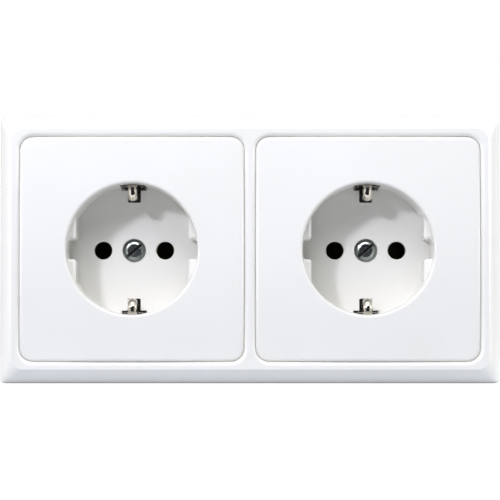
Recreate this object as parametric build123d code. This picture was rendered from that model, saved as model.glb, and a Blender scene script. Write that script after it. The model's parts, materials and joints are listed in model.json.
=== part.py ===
from build123d import *
import os
from math import cos, radians, sin, sqrt, tan

# Two-gang earthed wall socket: one moulded frame over two flush inserts. Sizes are in mm.
# Each piece is drawn on the bench with x to the right, y up the wall and z out of the wall,
# with z = 0 on the wall face. The last lines stand it up: bench z becomes -Y, bench y becomes +Z.

# Gangs and cover frame
gang_pitch = 71.0
web_width = 3.4
plate_gap = 0.1
frame_depth = 11.0
lip_radius = 1.4
top_land = 1.0
slope_run = 4.3
outline_corner = 1.6
shoulder_corner = 2.2
crease_corner = 3.6
frame_wall = 1.8
frame_wall_lean = 10.0
ledge_width = 2.0
ledge_thickness = 1.6
ledge_height = 8.0
frame_rib_width = 1.2
frame_rib_count = 4
frame_rib_spacing = 32.0

# Centre plate and well
plate_crown = 12.0
crown_radius = 700.0
plate_corner = 4.0
plate_skin = 2.2
plate_side = 3.0
plate_round = 1.0
well_radius = 20.0
well_draft = 0.4
well_depth = 18.0
rim_round = 0.7
floor_thickness = 3.0
cup_wall = 1.5
rib_span = 34.0
rib_drop = 4.2
rib_lead_share = 0.78
rib_lead_lean = 45.0
notch_width = 6.0
notch_round_share = 0.38
pin_spacing = 19.0
pin_hole = 5.5
pin_mouth = 0.3

# Plate screw
plate_screw_head = 6.8
plate_screw_ring = 5.2
plate_screw_flat = 4.1
plate_screw_head_height = 1.7
plate_screw_ring_drop = 0.2
plate_screw_flank_drop = 1.15
plate_screw_shank = 3.5
plate_screw_length = 9.0
screw_slot_width = 1.0
screw_slot_depth = 0.8
screw_slot_angle = 41.0
head_dome_share = 0.6
seat_clearance = 0.2
seat_sink = 0.1

# Earth bracket
strip_thickness = 0.8
clip_thickness = 0.6
clip_leg_width = 6.2
clip_leg_inset = 0.35
clip_top_drop = 5.4
clip_reach = 5.8
tongue_width = 2.8
tongue_crown = 0.75
tongue_bend = 0.6
tongue_fold = 1.3
tongue_nose = 2.5
tongue_tail_out = 2.6
web_strip_width = 8.0
bush_radius = 3.0
bush_length = 3.6
bar_slot_width = 7.7
bar_slot_reach = 1.3
bar_slot_back = 0.35
tongue_slot_width = 4.0
slot_round = 0.5

# Support ring and rivets
ring_thickness = 1.2
ring_gap = 1.2
ring_corner_cut = 10.0
ring_hole_clearance = 0.4
box_screw_spacing = 60.0
box_slot_width = 3.4
box_slot_length = 6.0
rivet_shank = 3.0
rivet_head = 5.0
rivet_head_height = 0.9
rivet_length = 7.0
rivet_angle = 60.0

# Base and rear cover
cup_clearance = 0.3
base_wall = 5.6
partition = 3.0
chamber_depth = 15.7
chamber_half_width = 7.5
chamber_wall = 1.3
chamber_core = 5.5
earth_chamber_half_width = 7.0
earth_chamber_near = 10.5
rear_cover_thickness = 2.0
rear_cover_edge = 0.7
part_clearance = 0.1
strip_clearance = 0.2
cover_screw_shank = 2.5
cover_screw_head = 4.4
cover_screw_head_height = 1.6
cover_screw_length = 9.0
cover_screw_inset = 3.7
cover_screw_angle = 65.0

# Contacts, clamp springs and release buttons
contact_thickness = 0.7
contact_width = 6.0
contact_mouth = 3.2
contact_pinch = 2.5
contact_belly = 3.0
contact_mouth_drop = 0.9
contact_pinch_drop = 4.4
contact_belly_drop = 10.5
tab_rise = 9.0
tab_width = 8.0
earth_tab_near = 11.5
earth_tab_width = 7.0
spring_thickness = 0.5
spring_width = 8.6
spring_bend = 0.9
button_flange = 4.2
button_side_gap = 0.32
button_lip = 0.5
button_step = 0.4
button_round = 0.4
button_flange_length = 5.6
button_flange_thickness = 1.0
button_nose_length = 1.3
button_proud = 1.4
button_travel = 1.2
button_clearance = 0.3
wire_entry = 2.8
wire_mouth = 0.7
wire_spacing = 9.2
earth_wire_share = 0.9

# Fixing claws
claw_screw_offset = 3.8
claw_screw_shank = 3.0
claw_screw_head = 5.4
claw_screw_head_height = 2.0
claw_screw_y = 7.5
claw_travel = 5.0
claw_thickness = 1.2
claw_width = 9.0
claw_length = 10.2
claw_gap = 0.6
claw_side_gap = 0.6
claw_bend = 1.2
claw_window = 5.5
claw_crossbar = 1.8
claw_reach = 1.6
claw_tooth = 1.6
claw_tooth_count = 3
claw_swing = 20.0
nut_size = 5.0
nut_height = 2.4
nut_clearance = 0.1
fork_width = 3.6
fork_root = 0.3
tab_overhang = 1.8
ramp_width = 4.8
moving_gap = 0.3

# Sizes that follow from the ones above
opening_size = gang_pitch - web_width
plate_size = opening_size - 2 * plate_gap
crease_size = opening_size + 2 * (lip_radius + top_land)
frame_height = crease_size + 2 * slope_run
floor_z = plate_crown - well_depth
floor_back_z = floor_z - floor_thickness
rib_top_z = plate_crown - rib_drop
well_floor_radius = well_radius - well_draft
rib_depth = sqrt(well_floor_radius**2 - (notch_width / 2) ** 2) - rib_span / 2
notch_round = notch_round_share * rib_depth
rib_lead = rib_lead_share * notch_round
cup_radius = well_radius + cup_wall
pocket_radius = cup_radius + cup_clearance
base_radius = pocket_radius + base_wall
partition_z = floor_back_z - cup_clearance
web_z = partition_z - strip_thickness - strip_clearance / 2
chamber_z = partition_z - partition
base_back_z = chamber_z - chamber_depth
cover_back_z = base_back_z - rear_cover_thickness
ring_size = gang_pitch - ring_gap
ring_hole_radius = pocket_radius + ring_hole_clearance
rivet_radius = (ring_hole_radius + base_radius) / 2
cover_screw_radius = base_radius - cover_screw_inset
earth_chamber_far = pocket_radius - cup_clearance
clip_outer_y = well_radius - clip_leg_inset
clip_inner_y = clip_outer_y - clip_thickness
clip_top_z = plate_crown - clip_top_drop
bar_slot_inner_y = clip_inner_y - bar_slot_reach / 2
bar_slot_outer_y = clip_outer_y + bar_slot_back
tongue_tip_y = well_radius - clip_reach
tongue_nose_y = tongue_tip_y + tongue_crown
contact_x = pin_spacing / 2
claw_screw_x = pocket_radius + claw_screw_offset
front_flat_x = claw_screw_x - claw_screw_shank / 2 - 2 * moving_gap
claw_pivot_x = claw_screw_x - nut_size / 2
claw_room = claw_width + 2 * claw_side_gap
claw_inner_x = claw_pivot_x - claw_bend - claw_thickness / 2
rear_flat_x = claw_inner_x - claw_gap
chamber_outer_x = rear_flat_x - chamber_wall
nut_front_z = chamber_z - claw_travel - claw_thickness - 2 * moving_gap
claw_tab_z = nut_front_z + part_clearance / 2 + claw_thickness / 2
claw_pivot_z = claw_tab_z - claw_bend
claw_tab_reach = nut_size / 2 + tab_overhang
claw_tab_rise = claw_tab_reach * sin(radians(claw_swing)) + claw_thickness + moving_gap
relief_z = nut_front_z + claw_travel + claw_tab_rise
claw_back_z = nut_front_z - claw_length
contact_foot_z = base_back_z + contact_thickness / 2 + part_clearance / 2
tab_face_x = chamber_outer_x - button_flange - 2 * button_side_gap
tab_reach = tab_face_x - contact_thickness / 2 - contact_x
button_x = (tab_face_x + chamber_outer_x) / 2
button_size = button_flange - 2 * button_lip
button_nose = button_size - 2 * button_step
spring_foot_z = base_back_z + button_flange_thickness + button_nose_length + button_travel + moving_gap
earth_chamber_mid_y = (earth_chamber_near + earth_chamber_far) / 2
earth_tab_x = web_strip_width / 2 - strip_thickness
spring_top_z = chamber_z - contact_mouth_drop


def slab(width, height, low, high, x=0.0, y=0.0, corner=0.0):
    """A block between two levels, with its four upright edges rounded if a corner radius is given."""
    face = RectangleRounded(width, height, corner) if corner else Rectangle(width, height)
    return Pos(x, y, low) * extrude(face, high - low)


def disc(radius, low, high, x=0.0, y=0.0):
    """A cylinder that stands on the wall plane's normal between two levels."""
    return Pos(x, y, low) * extrude(Circle(radius), high - low)


def strip(points, bend, thickness, width, y=0.0):
    """A sheet strip of one thickness, bent along points in the x-z plane and centred on y."""
    line = FilletPolyline(*points, radius=bend)
    face = Plane.XZ * trace(line, line_width=thickness)
    return Pos(0, y, 0) * extrude(face, width / 2, both=True)


def funnel(radius, mouth, x, y, level, way):
    """The lead-in cone of a hole, wide end on a level, open to the front (way 1) or the back (way -1)."""
    cone = Cone(radius, radius + mouth, mouth)
    turned = cone if way > 0 else Rot(180, 0, 0) * cone
    return Pos(x, y, level - way * mouth / 2) * turned


def round_head(diameter, height):
    """A pan head that stands on level 0: an upright rim under a shallow dome."""
    rise = head_dome_share * height
    ball = ((diameter / 2) ** 2 + rise**2) / (2 * rise)
    return disc(diameter / 2, 0, height) & Pos(0, 0, height - ball) * Sphere(ball)


def cover_frame():
    """The frame: a swelling border with a rounded lip round each opening, hollow at the back."""
    levels = [
        (0.0, 0.0, outline_corner),
        (frame_depth / 2, slope_run / 4, shoulder_corner),
        (frame_depth, slope_run, crease_corner),
    ]
    sections = []
    for level, inset, corner in levels:
        height = frame_height - 2 * inset
        face = RectangleRounded(height + gang_pitch, height, corner)
        sections.append(Pos(0, 0, level) * face)
    frame = loft(sections)
    hollow = RectangleRounded(
        frame_height + gang_pitch - 2 * frame_wall, frame_height - 2 * frame_wall, outline_corner
    )
    frame -= extrude(hollow, ledge_height - ledge_thickness, taper=frame_wall_lean)
    lip_corner = plate_corner + plate_gap
    for gang in (-1, 1):
        x = gang * gang_pitch / 2
        frame -= slab(opening_size, opening_size, ledge_height, 2 * frame_depth, x, 0, lip_corner)
        inner = opening_size - 2 * ledge_width
        frame -= slab(inner, inner, 0, frame_depth, x, 0, lip_corner)
    rim = frame.faces().filter_by(Axis.Z).sort_by(Axis.Z)[-1]
    frame = fillet([edge for wire in rim.inner_wires() for edge in wire.edges()], lip_radius)
    return frame + frame_ribs()


def frame_ribs():
    """Short ribs at the back of the long sides, between the outer wall and the ledge."""
    high = ledge_height - ledge_thickness
    outer = frame_height / 2 - frame_wall / 2
    inner = ring_size / 2 + 2 * moving_gap
    cross = Polygon(
        (inner, high), (outer - high * tan(radians(frame_wall_lean)), high),
        (outer, ring_thickness), (inner + ring_thickness, ring_thickness), align=None
    )
    ribs = Part()
    for side in (-1, 1):
        for number in range(frame_rib_count):
            place = number - (frame_rib_count - 1) / 2
            rib = extrude(Plane.YZ * cross, frame_rib_width / 2, both=True)
            turned = rib if side > 0 else mirror(rib, about=Plane.XZ)
            ribs += Pos(place * frame_rib_spacing, 0, 0) * turned
    return ribs


def well_plan():
    """The outline of the well between the guide ribs, with a rounded guide notch through each rib."""
    plan = Circle(well_floor_radius)
    for side in (-1, 1):
        depth = well_radius - rib_span / 2 + cup_wall
        x = side * (rib_span / 2 + depth / 2)
        rib = Pos(x, 0) * Rectangle(depth, 2 * well_radius)
        plan -= rib - Rectangle(4 * well_radius, notch_width)
    corners = [v for v in plan.vertices() if abs(abs(v.Y) - notch_width / 2) < notch_round / 10]
    return fillet(corners, notch_round)


def well_void():
    """The space between the ribs, with the sloping lead-in along their inner top edges and notches."""
    plan = well_plan()
    void = Pos(0, 0, floor_z) * extrude(plan, rib_top_z - floor_z)
    flare = extrude(plan, rib_lead, taper=-rib_lead_lean) & disc(well_floor_radius, 0, rib_lead)
    return void + Pos(0, 0, rib_top_z - rib_lead) * flare


def centre_plate():
    """The domed plate in one piece with its well: ribs, notches, pin holes, clip slots and screw seat."""
    blank = slab(plate_size, plate_size, ledge_height, 2 * plate_crown, 0, 0, plate_corner)
    plate = blank & Pos(0, 0, plate_crown - crown_radius) * Sphere(crown_radius)
    edge = plate.faces().sort_by(Axis.Z)[-1].outer_wire().edges()
    plate = fillet(edge, plate_round)
    ceiling = plate_crown - plate_skin - plate_round / 2
    cavity = plate_size - 2 * plate_side
    plate -= slab(cavity, cavity, 0, ceiling, 0, 0, plate_corner)
    plate += disc(cup_radius, floor_back_z, ceiling + plate_skin / 2)
    draft_height = plate_crown - rib_top_z
    mouth = Cone(well_floor_radius, well_radius, draft_height)
    plate -= Pos(0, 0, rib_top_z + draft_height / 2) * mouth
    rim = plate.edges().filter_by(GeomType.CIRCLE).filter_by(lambda e: e.radius > well_floor_radius)
    rim = [e for e in rim if e.center().Z > ceiling + plate_skin / 2 and e.radius < cup_radius]
    plate = fillet(rim, rim_round)
    plate -= well_void()
    for side in (-1, 1):
        plate -= disc(pin_hole / 2, floor_back_z, floor_z, side * contact_x)
        plate -= funnel(pin_hole / 2, pin_mouth, side * contact_x, 0, floor_z, 1)
        plate -= clip_slot(side)
    head = plate_screw_head / 2 + seat_clearance
    plate -= disc(head, floor_z - plate_screw_head_height - seat_sink, floor_z)
    return plate - disc(plate_screw_shank / 2 + seat_clearance, floor_back_z, floor_z)


def clip_slot(side):
    """The T-shaped way for one earth clip: a bar along the wall and a slot for the tongue."""
    bar_depth = bar_slot_outer_y - bar_slot_inner_y
    top = clip_top_z + tongue_bend + tongue_crown + moving_gap
    bar_y = side * (bar_slot_inner_y + bar_depth / 2)
    bar = slab(bar_slot_width, bar_depth, floor_back_z, top, 0, bar_y)
    inner = tongue_tip_y + slot_round
    depth = bar_slot_inner_y + slot_round - inner
    slot_y = side * (inner + depth / 2)
    return bar + slab(tongue_slot_width, depth, floor_back_z, floor_z, 0, slot_y, slot_round)


def plate_screw():
    """The raised slotted screw that holds the centre plate to the earth bracket."""
    top = floor_z - seat_sink
    seat = top - plate_screw_head_height
    outline = Polyline(
        (0, top), (plate_screw_flat / 2, top), (plate_screw_ring / 2, top - plate_screw_ring_drop),
        (plate_screw_head / 2, top - plate_screw_flank_drop), (plate_screw_head / 2, seat),
        (plate_screw_shank / 2, seat), (plate_screw_shank / 2, seat - plate_screw_length),
        (0, seat - plate_screw_length), close=True
    )
    screw = revolve(Plane.XZ * make_face(outline), Axis.Z)
    slot = slab(plate_screw_head, screw_slot_width, top - screw_slot_depth, top)
    return screw - Rot(0, 0, screw_slot_angle) * slot


def earth_bracket():
    """One folded strip: the web across the base, a leg and a sprung tongue at each end, bush and tab."""
    web = slab(web_strip_width, 2 * clip_outer_y, web_z, web_z + strip_thickness)
    web += disc(bush_radius, web_z - bush_length, web_z + strip_thickness)
    for side in (-1, 1):
        leg_y = side * (clip_outer_y + clip_inner_y) / 2
        web += slab(clip_leg_width, clip_thickness, web_z, clip_top_z, 0, leg_y)
        tongue = earth_tongue()
        web += tongue if side > 0 else mirror(tongue, about=Plane.XZ)
    tab_low = base_back_z + contact_mouth_drop
    tab_y = earth_tab_near + earth_tab_width / 2
    tab = slab(strip_thickness, earth_tab_width, tab_low, web_z + strip_thickness / 2)
    web += Pos(earth_tab_x + strip_thickness / 2, tab_y, 0) * tab
    bore = plate_screw_shank / 2 + part_clearance / 2
    return web - disc(bore, web_z - bush_length, web_z + strip_thickness)


def earth_tongue():
    """The sprung tongue of the upper clip: a narrow fold, then a beaded run over a round nose and down."""
    mid_y = (clip_outer_y + clip_inner_y) / 2
    front_z = clip_top_z + tongue_bend
    fold = [(mid_y, clip_top_z - tongue_bend), (mid_y, front_z), (mid_y - tongue_fold, front_z)]
    folded = Rot(0, 0, 90) * strip(fold, tongue_bend, clip_thickness, tongue_width)
    run = [
        (mid_y - tongue_bend, front_z),
        (tongue_nose_y, front_z),
        (tongue_nose_y + tongue_tail_out, floor_back_z + strip_thickness),
    ]
    path = Plane.YZ * FilletPolyline(*run, radius=tongue_nose)
    half = tongue_width / 2
    back = clip_thickness / 2
    bead = ThreePointArc((-half, 0), (0, tongue_crown), (half, 0))
    bead += Polyline((half, 0), (half, -back), (-half, -back), (-half, 0))
    start = Plane(origin=path @ 0, x_dir=(1, 0, 0), z_dir=path % 0)
    return folded + sweep(start * make_face(bead), path=path)


def support_ring():
    """The sheet ring that lies on the wall and carries the base, with slots for the box screws."""
    face = chamfer(Rectangle(ring_size, ring_size).vertices(), ring_corner_cut)
    ring = extrude(face, ring_thickness) - disc(ring_hole_radius, 0, ring_thickness)
    for side in (-1, 1):
        place = side * box_screw_spacing / 2
        across = SlotOverall(box_slot_length, box_slot_width)
        ring -= Pos(place, 0, 0) * extrude(across, ring_thickness)
        ring -= Pos(0, place, 0) * Rot(0, 0, 90) * extrude(across, ring_thickness)
        hole = claw_screw_shank / 2 + seat_clearance
        ring -= disc(hole, 0, ring_thickness, side * claw_screw_x, -side * claw_screw_y)
    for x, y in rivet_places():
        ring -= disc(rivet_shank / 2 + part_clearance / 2, 0, ring_thickness, x, y)
    return ring


def rivet_places():
    """The four rivets, two above and two below the well."""
    x = rivet_radius * cos(radians(rivet_angle))
    y = rivet_radius * sin(radians(rivet_angle))
    return [(x, y), (-x, y), (-x, -y), (x, -y)]


def ring_rivets():
    """Four round-headed rivets through the ring into the base."""
    rivets = Part()
    for x, y in rivet_places():
        rivets += Pos(x, y, ring_thickness) * round_head(rivet_head, rivet_head_height)
        rivets += disc(rivet_shank / 2, -rivet_length, ring_thickness, x, y)
    return rivets


def claw_relief(low, high, flat_x, width):
    """The room cut in the sides of the base for both claws, at one depth."""
    reach = 2 * base_radius
    left = slab(reach, width, low, high, -flat_x - reach / 2, claw_screw_y)
    return left + Rot(0, 0, 180) * left


def socket_base():
    """The moulded base: a pocket for the well in front, chambers for contacts and springs behind."""
    base = disc(base_radius, base_back_z, 0)
    base -= disc(pocket_radius, partition_z, 0)
    screw_room = claw_screw_shank + 2 * claw_side_gap
    base -= claw_relief(relief_z, 0, front_flat_x, screw_room)
    base -= claw_relief(base_back_z, relief_z, rear_flat_x, claw_room)
    base += claw_ramp() + Rot(0, 0, 180) * claw_ramp()
    channel = web_strip_width + 2 * strip_clearance
    base -= slab(channel, 2 * pocket_radius - 2 * cup_clearance, web_z, partition_z)
    base -= disc(bush_radius + strip_clearance, web_z - bush_length - strip_clearance, partition_z)
    shank = plate_screw_shank / 2 + seat_clearance
    screw_end = floor_z - plate_screw_head_height - plate_screw_length
    base -= disc(shank, screw_end - seat_clearance - seat_sink, partition_z)
    chamber = chamber_outer_x - chamber_core
    middle = (chamber_outer_x + chamber_core) / 2
    for side in (-1, 1):
        base -= disc(pin_hole / 2 + cup_clearance, chamber_z, partition_z, side * contact_x)
        base -= slab(chamber, 2 * chamber_half_width, base_back_z, chamber_z, side * middle)
    depth = earth_chamber_far - earth_chamber_near
    base -= slab(2 * earth_chamber_half_width, depth, base_back_z, chamber_z, 0, earth_chamber_mid_y)
    slit_length = earth_tab_width + 2 * strip_clearance
    slit = slab(strip_thickness + 2 * strip_clearance, slit_length, chamber_z, web_z)
    base -= Pos(earth_tab_x + strip_thickness / 2, earth_tab_near + earth_tab_width / 2, 0) * slit
    for x, y in rivet_places():
        base -= disc(rivet_shank / 2 + part_clearance / 2, -rivet_length - part_clearance, 0, x, y)
    for x, y in cover_screw_places():
        hole = cover_screw_shank / 2 + part_clearance / 2
        base -= disc(hole, base_back_z, base_back_z + cover_screw_length, x, y)
    return base


def claw_path(share):
    """Where the front inner corner of the claw's crossbar is, at a share of its travel."""
    angle = radians(claw_swing * share)
    along = claw_pivot_x - claw_inner_x
    back = claw_pivot_z - claw_back_z - claw_crossbar
    x = claw_pivot_x - along * cos(angle) + back * sin(angle)
    z = claw_pivot_z + claw_travel * share - along * sin(angle) - back * cos(angle)
    return x, z


def claw_ramp():
    """The wedge on the side of the base that pushes the claw's crossbar outward as the nut draws it on."""
    start_x, start_z = claw_path(0)
    end_x, end_z = claw_path(1)
    slope = (end_x - start_x) / (end_z - start_z)
    low_z = max(start_z, base_back_z)
    low_x = start_x - moving_gap + slope * (low_z - start_z)
    high_z = nut_front_z - nut_height - 2 * moving_gap
    high_x = low_x + slope * (high_z - low_z)
    root_x = rear_flat_x - chamber_wall / 2
    profile = Polygon(
        (-root_x, low_z), (-low_x, low_z), (-high_x, high_z), (-root_x, high_z), align=None
    )
    return Pos(0, claw_screw_y, 0) * extrude(Plane.XZ * profile, ramp_width / 2, both=True)


def rear_cover():
    """The plate that closes the chambers, with wire entries and windows for the release buttons."""
    cover = disc(base_radius, cover_back_z, base_back_z)
    cover = chamfer(cover.edges().sort_by(Axis.Z)[0], rear_cover_edge)
    cover -= claw_relief(cover_back_z, base_back_z, rear_flat_x, claw_room)
    window = button_size + 2 * button_clearance
    for x, y, across in terminal_places():
        cover -= slab(window, window, cover_back_z, base_back_z, x, y)
        for side in (-1, 1):
            wire_y = y + side * across * wire_spacing / 2
            cover -= disc(wire_entry / 2, cover_back_z, base_back_z, x, wire_y)
            cover -= funnel(wire_entry / 2, wire_mouth, x, wire_y, cover_back_z, -1)
    for x, y in cover_screw_places():
        cover -= disc(cover_screw_shank / 2 + part_clearance, cover_back_z, base_back_z, x, y)
    return cover


def terminal_places():
    """The middle of each terminal, live, neutral and earth, and the share of the wire spacing it has."""
    earth_x = (earth_tab_x - earth_chamber_half_width) / 2
    earth = (earth_x, earth_chamber_mid_y, earth_wire_share)
    return [(-button_x, 0, 1), (button_x, 0, 1), earth]


def cover_screw_places():
    """The two screws of the rear cover, below the terminals."""
    x = cover_screw_radius * cos(radians(cover_screw_angle))
    y = -cover_screw_radius * sin(radians(cover_screw_angle))
    return [(-x, y), (x, y)]


def cover_screws():
    """The two pan-head screws that hold the rear cover."""
    screws = Part()
    for x, y in cover_screw_places():
        high = cover_screw_head_height
        head = round_head(cover_screw_head, high)
        head -= slab(cover_screw_head, screw_slot_width, high - screw_slot_depth, high)
        screws += Pos(x, y, cover_back_z) * Rot(180, 0, 0) * head
        tip = base_back_z + cover_screw_length - rear_cover_thickness
        screws += disc(cover_screw_shank / 2, cover_back_z, tip, x, y)
    return screws


def pin_contact():
    """The neutral contact: two leaves that grip the pin, folded from one strip with the terminal tab."""
    mouth_z = chamber_z - contact_mouth_drop
    pinch_z = chamber_z - contact_pinch_drop
    belly_z = chamber_z - contact_belly_drop
    grip = [
        (contact_x - contact_mouth, mouth_z), (contact_x - contact_pinch, pinch_z),
        (contact_x - contact_belly, belly_z), (contact_x - contact_belly, contact_foot_z),
        (contact_x + contact_belly, contact_foot_z), (contact_x + contact_belly, belly_z),
        (contact_x + contact_pinch, pinch_z), (contact_x + contact_mouth, mouth_z),
    ]
    tab = [
        (contact_x, contact_foot_z), (contact_x + tab_reach, contact_foot_z),
        (contact_x + tab_reach, contact_foot_z + tab_rise),
    ]
    bend = contact_thickness
    return strip(grip, bend, contact_thickness, contact_width) + strip(
        tab, bend, contact_thickness, tab_width
    )


def clamp_spring(tab_x, wall_x, y):
    """A folded leaf between a terminal tab and the chamber wall."""
    way = 1 if wall_x > tab_x else -1
    back = wall_x - way * (spring_thickness / 2 + part_clearance)
    front = tab_x + way * (spring_thickness / 2 + part_clearance)
    points = [
        (back, spring_top_z), (back, spring_foot_z + spring_bend),
        ((back + front) / 2, spring_foot_z + spring_thickness / 2), (front, spring_foot_z + tab_rise / 2),
    ]
    return strip(points, spring_bend, spring_thickness, spring_width, y)


def release_button(x, y):
    """A push button through the rear cover, kept in by its flange, with a nose towards the spring."""
    flange_z = base_back_z + part_clearance
    nose_z = flange_z + button_flange_thickness
    button = slab(button_size, button_size, cover_back_z - button_proud, flange_z, x, y, button_round)
    button += slab(button_flange, button_flange_length, flange_z, nose_z, x, y)
    return button + slab(button_nose, button_size, nose_z, nose_z + button_nose_length, x, y)


def claw_screw():
    """The screw of the upper claw, its head on the ring and its thread in the square nut."""
    x, y = -claw_screw_x, claw_screw_y
    high = ring_thickness + claw_screw_head_height
    tip = nut_front_z - nut_height - moving_gap
    screw = Pos(x, y, ring_thickness) * round_head(claw_screw_head, claw_screw_head_height)
    screw += disc(claw_screw_shank / 2, tip, ring_thickness, x, y)
    for turn in (0, 90):
        slot = slab(claw_screw_head, screw_slot_width, high - screw_slot_depth, high)
        screw -= Pos(x, y, 0) * Rot(0, 0, screw_slot_angle + turn) * slot
    return screw


def claw_nut():
    """The square nut that draws the upper claw towards the ring."""
    x, y = -claw_screw_x, claw_screw_y
    low = nut_front_z - nut_height
    nut = slab(nut_size, nut_size, low, nut_front_z, x, y)
    return nut - disc(claw_screw_shank / 2 + nut_clearance, low, nut_front_z, x, y)


def claw():
    """The upper claw: one bent strip, a fork over the nut, a windowed web and a toothed foot behind."""
    web_x = claw_inner_x + claw_thickness / 2
    foot_z = claw_back_z + claw_thickness / 2
    foot_out = claw_screw_x + claw_reach
    tab_out = claw_pivot_x + claw_tab_reach
    points = [(-tab_out, claw_tab_z), (-web_x, claw_tab_z), (-web_x, foot_z), (-foot_out, foot_z)]
    body = strip(points, claw_bend, claw_thickness, claw_width, claw_screw_y)
    window_low = claw_back_z + claw_crossbar
    body -= slab(2 * claw_bend, claw_window, window_low, claw_pivot_z, -web_x, claw_screw_y)
    fork_length = 2 * claw_tab_reach
    fork_x = -claw_pivot_x - fork_root - fork_length / 2
    fork = Pos(fork_x, claw_screw_y) * SlotOverall(fork_length, fork_width)
    body -= Pos(0, 0, claw_pivot_z) * extrude(fork, 2 * claw_bend)
    return body - tooth_gaps(foot_out)


def tooth_gaps(foot_out):
    """The V cuts that leave sharp teeth on the claw's foot."""
    gaps = Part()
    pitch = claw_width / claw_tooth_count
    for number in range(claw_tooth_count - 1):
        y = claw_screw_y + (number + 1 - claw_tooth_count / 2) * pitch
        cut = Polygon(
            (-foot_out - claw_thickness, y - pitch / 2), (-foot_out, y - pitch / 2),
            (-foot_out + claw_tooth, y), (-foot_out, y + pitch / 2),
            (-foot_out - claw_thickness, y + pitch / 2), align=None
        )
        gaps += Pos(0, 0, claw_back_z) * extrude(cut, claw_thickness)
    return gaps


def insert_pieces():
    """Every piece of one gang, by name, on the bench."""
    half_turn = Rot(0, 0, 180)
    neutral = pin_contact()
    live_at, neutral_at, earth_at = terminal_places()
    neutral_spring = clamp_spring(tab_face_x, chamber_outer_x, 0)
    return {
        "centre_plate": centre_plate(),
        "plate_screw": plate_screw(),
        "support_ring": support_ring(),
        "ring_rivets": ring_rivets(),
        "socket_base": socket_base(),
        "rear_cover": rear_cover(),
        "cover_screws": cover_screws(),
        "earth_bracket": earth_bracket(),
        "neutral_contact": neutral,
        "live_contact": mirror(neutral, about=Plane.YZ),
        "neutral_spring": neutral_spring,
        "live_spring": mirror(neutral_spring, about=Plane.YZ),
        "earth_spring": clamp_spring(earth_tab_x, -earth_chamber_half_width, earth_chamber_mid_y),
        "neutral_release": release_button(neutral_at[0], neutral_at[1]),
        "live_release": release_button(live_at[0], live_at[1]),
        "earth_release": release_button(earth_at[0], earth_at[1]),
        "upper_claw": claw(),
        "lower_claw": half_turn * claw(),
        "upper_claw_screw": claw_screw(),
        "lower_claw_screw": half_turn * claw_screw(),
        "upper_claw_nut": claw_nut(),
        "lower_claw_nut": half_turn * claw_nut(),
    }


os.makedirs("parts", exist_ok=True)
upright = Rot(90, 0, 0)
export_step(upright * cover_frame(), "parts/cover_frame.step")
for gang_name, gang_side in (("left", -1), ("right", 1)):
    gang_place = upright * Pos(gang_side * gang_pitch / 2, 0, 0)
    for piece_name, piece in insert_pieces().items():
        export_step(gang_place * piece, f"parts/{gang_name}_{piece_name}.step")
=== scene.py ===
import json
from math import hypot, pi, radians, tan

import bmesh
import bpy
from mathutils import Matrix, Vector


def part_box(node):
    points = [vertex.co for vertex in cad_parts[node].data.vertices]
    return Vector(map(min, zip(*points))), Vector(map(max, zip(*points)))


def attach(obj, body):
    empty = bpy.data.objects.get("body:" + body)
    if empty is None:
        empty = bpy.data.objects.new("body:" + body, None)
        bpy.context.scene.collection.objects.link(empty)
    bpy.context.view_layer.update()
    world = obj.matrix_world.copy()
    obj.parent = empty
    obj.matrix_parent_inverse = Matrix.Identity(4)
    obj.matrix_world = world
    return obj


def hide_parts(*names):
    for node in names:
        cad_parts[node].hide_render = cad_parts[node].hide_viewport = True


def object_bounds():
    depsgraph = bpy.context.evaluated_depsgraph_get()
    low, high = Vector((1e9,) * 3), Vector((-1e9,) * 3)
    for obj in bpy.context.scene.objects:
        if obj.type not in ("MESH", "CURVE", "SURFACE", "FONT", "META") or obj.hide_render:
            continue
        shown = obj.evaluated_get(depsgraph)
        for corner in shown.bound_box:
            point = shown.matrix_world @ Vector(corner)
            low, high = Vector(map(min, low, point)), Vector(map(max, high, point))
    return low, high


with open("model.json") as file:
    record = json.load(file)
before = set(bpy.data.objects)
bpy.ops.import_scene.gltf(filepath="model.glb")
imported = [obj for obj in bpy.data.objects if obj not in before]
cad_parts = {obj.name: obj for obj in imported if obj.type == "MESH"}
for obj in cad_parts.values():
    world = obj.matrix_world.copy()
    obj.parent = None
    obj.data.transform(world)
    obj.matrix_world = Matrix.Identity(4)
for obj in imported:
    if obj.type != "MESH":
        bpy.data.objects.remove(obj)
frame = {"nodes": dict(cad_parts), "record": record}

cad_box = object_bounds()
scene = bpy.context.scene
scene.view_settings.view_transform = "Standard"
gangs = ("left", "right")

# Where the photograph was taken from, in metres, and its lens and sensor, in millimetres
camera_place = Vector((0.0, -0.7725, -0.0227))
camera_aim = Vector((0.0, 0.0, 0.0))
camera_lens = 182.8
camera_sensor = 36.0

# Key light: its direction from the socket, its distance in metres and the angle that it fills
key_direction = Vector((-0.477, -0.789, 0.390))
key_distance = 1.1
key_spread = radians(6.5)

# Tints of the lamps
daylight = (0.862, 0.875, 1.0)
skylight = (0.916, 0.938, 1.0)
lamplight = (0.99, 0.99, 1.0)
card_blue = (0.8, 0.88, 1.0)

# Card of light on the floor below the frame, in metres
card_length = 0.16
card_depth = 0.014
card_y = -0.009
card_above_floor = 0.0005

# Floor, in metres: half its width, and how far from the socket it starts to fade and is all white
floor_z = cad_box[0].z
floor_half = 3.0
floor_near = 0.35
floor_far = 0.9

# Dim side of the studio that bright metal mirrors, in metres
dim_y = -1.05
dim_half = 0.65
wing_half = 2.0
table_near_y = -0.045
table_near_half = 0.03
table_above_floor = 0.001

# Centre plates, in metres
plate_corner = 0.004
plate_edge_band = 0.0011
plate_edge_draw = 0.000094

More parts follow.
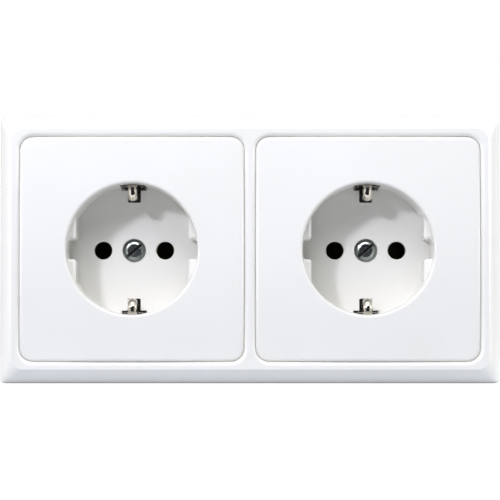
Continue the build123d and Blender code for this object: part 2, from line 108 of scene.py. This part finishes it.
# Claw screws, in metres, with the thread's steps in one turn
thread_pitch = 0.0005
thread_core = 0.00122
thread_crest = 0.0015
thread_root = 0.98 * thread_core
thread_half_foot = 0.42 * thread_pitch
thread_steps = 18
cut_below_head = 1e-5
sharp_angle = radians(32)

# Points of a copied solid that are nearer than this, in metres, become one
weld_distance = 1e-6

# Values between which most of a noise lies
noise_low = 0.3
noise_high = 0.7


class Signal:
    """One socket of a finish. Arithmetic on it adds Math nodes, and node() adds any other node."""

    def __init__(self, tree, socket=None):
        self.tree = tree
        self.socket = socket

    def node(self, kind, settings, sockets, output=0):
        made = self.tree.nodes.new("ShaderNode" + kind)
        for name, value in settings.items():
            setattr(made, name, value)
        for name, value in sockets.items():
            if isinstance(value, Signal):
                self.tree.links.new(value.socket, made.inputs[name])
            else:
                made.inputs[name].default_value = value
        return Signal(self.tree, made.outputs[output] if made.outputs else None)

    def maths(self, operation, first, second):
        return self.node("Math", {"operation": operation}, {0: first, 1: second})

    def __add__(self, other):
        return self.maths("ADD", self, other)

    def __mul__(self, other):
        return self.maths("MULTIPLY", self, other)

    __radd__ = __add__
    __rmul__ = __mul__

    def larger(self, other):
        return self.maths("MAXIMUM", self, other)

    def between(self, first, second):
        """A colour that goes from first to second with this value."""
        return self.node("Mix", {"data_type": "RGBA"}, {0: self, 6: first, 7: second}, 2)

    def cloud(self, size, detail=3.0, stretch=(1, 1, 1)):
        """Noise whose patches are about one size in metres, on Object coordinates."""
        place = self.node("TexCoord", {}, {}, "Object")
        place = self.node("VectorMath", {"operation": "MULTIPLY"}, {0: place, 1: stretch})
        return self.node("TexNoise", {}, {"Vector": place, "Scale": 1 / size, "Detail": detail})

    def steps(self, low, high):
        """This value stretched so that low becomes 0 and high becomes 1."""
        return self.node("MapRange", {"clamp": True}, {0: self, 1: low, 2: high, 3: 0.0, 4: 1.0})

    def relief(self, height, depth, strength, edge):
        """A surface normal with softened edges and a fine relief."""
        rounded = self.node("Bevel", {"samples": 4}, {"Radius": edge})
        sockets = {"Strength": strength, "Distance": depth, "Height": height, "Normal": rounded}
        return self.node("Bump", {}, sockets)


def finish(name, surface):
    """A material whose surface is what one function makes of its node tree."""
    material = bpy.data.materials.new(name)
    material.use_nodes = True
    material.node_tree.nodes.clear()
    start = Signal(material.node_tree)
    start.node("OutputMaterial", {}, {"Surface": surface(start)})
    return material


def colour(red, green, blue):
    return (red, green, blue, 1.0)


def moulded_white(at):
    """The glossy white of the frame and centre plates: faint flow clouds and a very fine skin."""
    flow = at.cloud(size=0.03)
    skin = at.cloud(size=0.0009, detail=2.0)
    shade = colour(0.826, 0.810, 0.754)
    light = colour(0.846, 0.831, 0.778)
    return at.node("BsdfPrincipled", {}, {
        "Base Color": flow.steps(noise_low, noise_high).between(shade, light),
        "Roughness": 0.2 + 0.06 * flow + 0.05 * skin,
        "Normal": at.relief(skin, depth=0.00002, strength=0.12, edge=0.00012),
        "IOR": 1.5,
    })


def moulded_grey(at, dark, light, gloss):
    """A matt technical moulding: speckled, with a satin skin."""
    flow = at.cloud(size=0.02)
    speck = at.cloud(size=0.0004, detail=1.0)
    mottle = 0.6 * flow + 0.4 * speck
    return at.node("BsdfPrincipled", {}, {
        "Base Color": mottle.steps(noise_low, noise_high).between(dark, light),
        "Roughness": gloss + 0.15 * speck,
        "Normal": at.relief(speck, depth=0.00003, strength=0.35, edge=0.00018),
    })


def plated(at, dark, light, gloss, stretch):
    """Plated or bare sheet metal: rolling streaks one way, faint clouds in the plating."""
    clouds = at.cloud(size=0.006)
    streaks = at.cloud(size=0.0008, detail=4.0, stretch=stretch)
    mottle = 0.5 * clouds + 0.5 * streaks
    return at.node("BsdfPrincipled", {}, {
        "Base Color": mottle.steps(noise_low, noise_high).between(dark, light),
        "Metallic": 1.0,
        "Roughness": gloss + 0.08 * streaks + 0.06 * clouds,
        "Normal": at.relief(streaks, depth=0.00002, strength=0.15, edge=0.0001),
    })


def base_grey(at):
    return moulded_grey(at, dark=colour(0.52, 0.53, 0.54), light=colour(0.60, 0.61, 0.62), gloss=0.42)


def cover_grey(at):
    return moulded_grey(at, dark=colour(0.19, 0.20, 0.21), light=colour(0.25, 0.26, 0.27), gloss=0.40)


def release_orange(at):
    return moulded_grey(at, dark=colour(0.72, 0.24, 0.03), light=colour(0.80, 0.30, 0.05), gloss=0.36)


def zinc_plate(at):
    dark = colour(0.50, 0.52, 0.53)
    light = colour(0.66, 0.68, 0.70)
    return plated(at, dark, light, gloss=0.10, stretch=(1, 1, 0.08))


def screw_zinc(at):
    """Dull zinc whose base colour is darkened by painted shade down in the driving slot and other recesses.
    """
    # Colour of the painted shade, used where ambient occlusion finds the zinc enclosed
    painted_slot_shade = colour(0.05, 0.05, 0.045)
    dark = colour(0.32, 0.35, 0.34)
    light = colour(0.42, 0.45, 0.43)
    clouds = at.cloud(size=0.006)
    look_round = {"samples": 8, "only_local": True}
    open_share = at.node("AmbientOcclusion", look_round, {"Distance": 0.0012}, "AO")
    unshaded_zinc = clouds.steps(noise_low, noise_high).between(dark, light)
    return at.node("BsdfPrincipled", {}, {
        # Painted shade: low ambient occlusion within 1.2 mm turns the zinc's own tone into the dark shade
        # colour
        "Base Color": open_share.steps(low=0.35, high=0.75).between(painted_slot_shade, unshaded_zinc),
        "Metallic": 1.0,
        "Roughness": 0.2 + 0.1 * clouds,
        "Normal": at.relief(clouds, depth=0.00002, strength=0.15, edge=0.0001),
    })


def claw_zinc(at):
    dark = colour(0.46, 0.45, 0.40)
    light = colour(0.62, 0.61, 0.56)
    return plated(at, dark, light, gloss=0.28, stretch=(1, 0.08, 1))


def nickel_strip(at):
    dark = colour(0.62, 0.58, 0.51)
    light = colour(0.76, 0.72, 0.66)
    return plated(at, dark, light, gloss=0.02, stretch=(1, 0.06, 0.06))


def spring_steel(at):
    dark = colour(0.52, 0.52, 0.53)
    light = colour(0.66, 0.66, 0.68)
    return plated(at, dark, light, gloss=0.18, stretch=(0.06, 1, 0.06))


def contact_brass(at):
    # Far darker than bare brass: partly tarnish, partly painted shade for the dark insides of the pin holes
    dark = colour(0.20, 0.14, 0.07)
    light = colour(0.28, 0.20, 0.10)
    return plated(at, dark, light, gloss=0.55, stretch=(0.06, 1, 0.06))


finishes = {
    "white": finish("moulded_white", moulded_white),
    "base": finish("base_grey", base_grey),
    "cover": finish("cover_grey", cover_grey),
    "release": finish("release_orange", release_orange),
    "zinc": finish("zinc_plate", zinc_plate),
    "claw": finish("claw_zinc", claw_zinc),
    "nickel": finish("nickel_strip", nickel_strip),
    "spring": finish("spring_steel", spring_steel),
    "contact": finish("contact_brass", contact_brass),
}
for subpart in frame["record"]["subparts"]:
    node = frame["nodes"][subpart["node"]]
    node.material_slots[0].material = finishes[subpart["material_slot"]]
dull_screw = finish("screw_zinc", screw_zinc)
for gang in gangs:
    frame["nodes"][gang + "_plate_screw"].material_slots[0].material = dull_screw


def fitted(name, mesh, slot, body):
    """A new piece from a mesh, in one finish, that rides on a body."""
    mesh.materials.clear()
    mesh.materials.append(finishes[slot])
    made = bpy.data.objects.new(name, mesh)
    scene.collection.objects.link(made)
    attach(made, body)
    return made


def seated_plate(node_name):
    """A centre plate pressed home: its rounded edge is drawn out to the lip of the frame."""
    low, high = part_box(node_name)
    middle = (low + high) / 2
    core = (high.x - low.x) / 2 - plate_corner
    solid = frame["nodes"][node_name].data
    bm = bmesh.new()
    bm.from_mesh(solid)
    facing = bm.loops.layers.float_vector.new("facing")
    for face, triangle in zip(bm.faces, solid.polygons):
        for loop, corner in zip(face.loops, triangle.loop_indices):
            loop[facing] = solid.corner_normals[corner].vector
    bmesh.ops.remove_doubles(bm, verts=bm.verts, dist=weld_distance)
    for vertex in bm.verts:
        away = vertex.co - middle
        reach_x = away.x - min(max(away.x, -core), core)
        reach_z = away.z - min(max(away.z, -core), core)
        reach = hypot(reach_x, reach_z)
        share = 1 - (plate_corner - reach) / plate_edge_band
        if share > 0:
            vertex.co.x += reach_x / reach * plate_edge_draw * share
            vertex.co.z += reach_z / reach * plate_edge_draw * share
    mesh = bpy.data.meshes.new(node_name + "_seated")
    bm.to_mesh(mesh)
    bm.free()
    mesh.shade_smooth()
    mesh.normals_split_custom_set([corner.vector for corner in mesh.attributes["facing"].data])
    mesh.attributes.remove(mesh.attributes["facing"])
    plate = fitted(node_name + "_seated", mesh, "white", "housing")
    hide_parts(node_name)


def threaded_screw(node_name):
    """A claw screw with its thread: the solid's own head, a core and one helical ridge."""
    low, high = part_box(node_name)
    ring_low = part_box(node_name.split("_")[0] + "_support_ring")[0]
    axis_x = (low.x + high.x) / 2
    axis_z = (low.z + high.z) / 2
    under_head = ring_low.y
    bm = bmesh.new()
    bm.from_mesh(frame["nodes"][node_name].data)
    bmesh.ops.remove_doubles(bm, verts=bm.verts, dist=weld_distance)
    bmesh.ops.bisect_plane(
        bm, geom=bm.verts[:] + bm.edges[:] + bm.faces[:],
        plane_co=(0, under_head + cut_below_head, 0), plane_no=(0, 1, 0), clear_outer=True,
    )
    bmesh.ops.holes_fill(bm, edges=[edge for edge in bm.edges if edge.is_boundary], sides=0)
    length = high.y - under_head
    halfway = Matrix.Translation((axis_x, under_head + length / 2, axis_z))
    bmesh.ops.create_cone(
        bm, cap_ends=True, segments=thread_steps, radius1=thread_core, radius2=thread_core,
        depth=length, matrix=halfway @ Matrix.Rotation(-pi / 2, 4, "X"),
    )
    turns = int(length / thread_pitch) - 2
    start_y = under_head + thread_pitch
    corners = [
        bm.verts.new((axis_x + thread_root, start_y - thread_half_foot, axis_z)),
        bm.verts.new((axis_x + thread_crest, start_y, axis_z)),
        bm.verts.new((axis_x + thread_root, start_y + thread_half_foot, axis_z)),
    ]
    first = bm.faces.new(corners)
    bmesh.ops.spin(
        bm, geom=[first], cent=(axis_x, 0, axis_z), axis=(0, 1, 0),
        dvec=(0, thread_pitch / thread_steps, 0), angle=2 * pi * turns, steps=thread_steps * turns,
    )
    bmesh.ops.recalc_face_normals(bm, faces=bm.faces)
    mesh = bpy.data.meshes.new(node_name + "_threaded")
    bm.to_mesh(mesh)
    bm.free()
    mesh.shade_smooth()
    mesh.set_sharp_from_angle(angle=sharp_angle)
    screw = fitted(node_name + "_threaded", mesh, "zinc", node_name)
    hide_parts(node_name)


for gang in gangs:
    seated_plate(gang + "_centre_plate")
    for level in ("upper", "lower"):
        threaded_screw(f"{gang}_{level}_claw_screw")


# Camera
camera_data = bpy.data.cameras.new("camera")
camera_data.lens = camera_lens
camera_data.sensor_width = camera_sensor
camera = bpy.data.objects.new("camera", camera_data)
camera.location = camera_place
camera.rotation_euler = (camera_aim - camera_place).to_track_quat("-Z", "Y").to_euler()
scene.collection.objects.link(camera)
scene.camera = camera


def lamp(name, direction, distance, width, watts, tint):
    """A round soft lamp that faces the socket."""
    data = bpy.data.lights.new(name, "AREA")
    data.shape = "DISK"
    data.size = width
    data.energy = watts
    data.color = tint
    made = bpy.data.objects.new(name, data)
    made.location = direction.normalized() * distance
    made.rotation_euler = (-direction).to_track_quat("-Z", "Y").to_euler()
    scene.collection.objects.link(made)


key_width = 2 * key_distance * tan(key_spread / 2)
from_top = Vector((0.0, -0.65, 0.76))
from_left = Vector((-0.99, -0.05, 0.12))
from_right = Vector((0.99, -0.05, 0.12))
from_back = Vector((0.5, 0.8, 0.6))
lamp("key", key_direction, key_distance, key_width, watts=5.08, tint=daylight)
lamp("top", from_top, distance=0.5, width=0.36, watts=2.0, tint=skylight)
lamp("left", from_left, distance=1.2, width=0.8, watts=7.2, tint=lamplight)
lamp("right", from_right, distance=1.2, width=0.8, watts=11.0, tint=lamplight)
lamp("back", from_back, distance=1.2, width=0.6, watts=10.0, tint=skylight)


def card(watts, tint):
    """A small bluish card of light that lies on the floor just below the frame."""
    data = bpy.data.lights.new("card", "AREA")
    data.shape = "RECTANGLE"
    data.size = card_length
    data.size_y = card_depth
    data.energy = watts
    data.color = tint
    made = bpy.data.objects.new("card", data)
    made.location = (0, card_y, floor_z + card_above_floor)
    made.rotation_euler = (pi, 0, 0)
    made.visible_camera = False
    made.visible_glossy = False
    scene.collection.objects.link(made)


card(watts=0.0021, tint=card_blue)


def white_rays(at):
    """1 for rays that show the background: from the camera, off gloss and through glass."""
    rays = at.node("LightPath", {}, {}, "Is Camera Ray")
    glossy = at.node("LightPath", {}, {}, "Is Glossy Ray")
    clear = at.node("LightPath", {}, {}, "Is Transmission Ray")
    return rays.larger(glossy).larger(clear)


# Surroundings: white to the eye, almost dark as light
white = colour(1.0, 1.0, 1.0)
world = bpy.data.worlds.new("studio")
world.use_nodes = True
world.node_tree.nodes.clear()
studio = Signal(world.node_tree)
room = studio.node("Background", {}, {"Color": colour(0.945, 0.955, 1.0), "Strength": 0.01})
paper = studio.node("Background", {}, {"Color": white, "Strength": 1.0})
seen = studio.node("MixShader", {}, {0: white_rays(studio), 1: room, 2: paper})
studio.node("OutputWorld", {}, {"Surface": seen})
scene.world = world


def pale_floor(at):
    """A pale matt floor that keeps the shadow, looks white where nothing shades it and is white far off."""
    matt = at.node("BsdfDiffuse", {}, {"Color": colour(0.52, 0.54, 0.58)})
    thin = at.node("BsdfDiffuse", {}, {"Color": colour(0.35, 0.35, 0.35)})
    glow = at.node("Emission", {}, {"Color": white, "Strength": 0.74})
    bright = at.node("AddShader", {}, {0: thin, 1: glow})
    far_white = at.node("Emission", {}, {"Color": white, "Strength": 1.0})
    place = at.node("TexCoord", {}, {}, "Object")
    away = at.node("VectorMath", {"operation": "LENGTH"}, {0: place}, "Value")
    pale = at.node("MixShader", {}, {0: away.steps(floor_near, floor_far), 1: bright, 2: far_white})
    return at.node("MixShader", {}, {0: white_rays(at), 1: matt, 2: pale})


def dim_side(at):
    """The dim side of the studio, behind the camera, that bright metal mirrors."""
    return at.node("Emission", {}, {"Color": colour(0.022, 0.025, 0.029), "Strength": 1.0})


def wing_side(at):
    """The half-lit wings of the studio on either side of the camera."""
    return at.node("Emission", {}, {"Color": colour(0.46, 0.43, 0.38), "Strength": 1.0})


def stage_sheet(name, corners, material):
    """A flat sheet of the studio between four corners."""
    bm = bmesh.new()
    bm.faces.new([bm.verts.new(corner) for corner in corners])
    mesh = bpy.data.meshes.new(name)
    bm.to_mesh(mesh)
    bm.free()
    mesh.materials.append(material)
    made = bpy.data.objects.new(name, mesh)
    scene.collection.objects.link(made)
    return made


def mirrored_sheet(name, corners, material):
    """A sheet of the studio that is seen only as a reflection."""
    sheet = stage_sheet(name, corners, material)
    sheet.visible_camera = False
    sheet.visible_diffuse = False
    sheet.visible_shadow = False
    sheet.visible_transmission = False


def upright_corners(left, right):
    """Corners of a sheet across the studio behind the camera."""
    return [
        (left, dim_y, -dim_half), (right, dim_y, -dim_half),
        (right, dim_y, dim_half), (left, dim_y, dim_half),
    ]


def table_corners(gang):
    """Corners of a fan-shaped sheet on the floor, from below a gang's well out to the dim wall."""
    low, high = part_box(gang + "_plate_screw")
    middle = (low.x + high.x) / 2
    level = floor_z + table_above_floor
    return [
        (middle - table_near_half, table_near_y, level), (middle + table_near_half, table_near_y, level),
        (middle + dim_half, dim_y, level), (middle - dim_half, dim_y, level),
    ]


floor_corners = [
    (-floor_half, -floor_half, floor_z), (floor_half, -floor_half, floor_z),
    (floor_half, floor_half, floor_z), (-floor_half, floor_half, floor_z),
]
stage_sheet("floor", floor_corners, finish("pale_floor", pale_floor))
dim = finish("dim_side", dim_side)
half_lit = finish("wing_side", wing_side)
mirrored_sheet("dim_wall", upright_corners(-dim_half, dim_half), dim)
mirrored_sheet("wing_left", upright_corners(-wing_half, -dim_half), half_lit)
mirrored_sheet("wing_right", upright_corners(dim_half, wing_half), half_lit)
for gang in gangs:
    mirrored_sheet("dim_table_" + gang, table_corners(gang), dim)
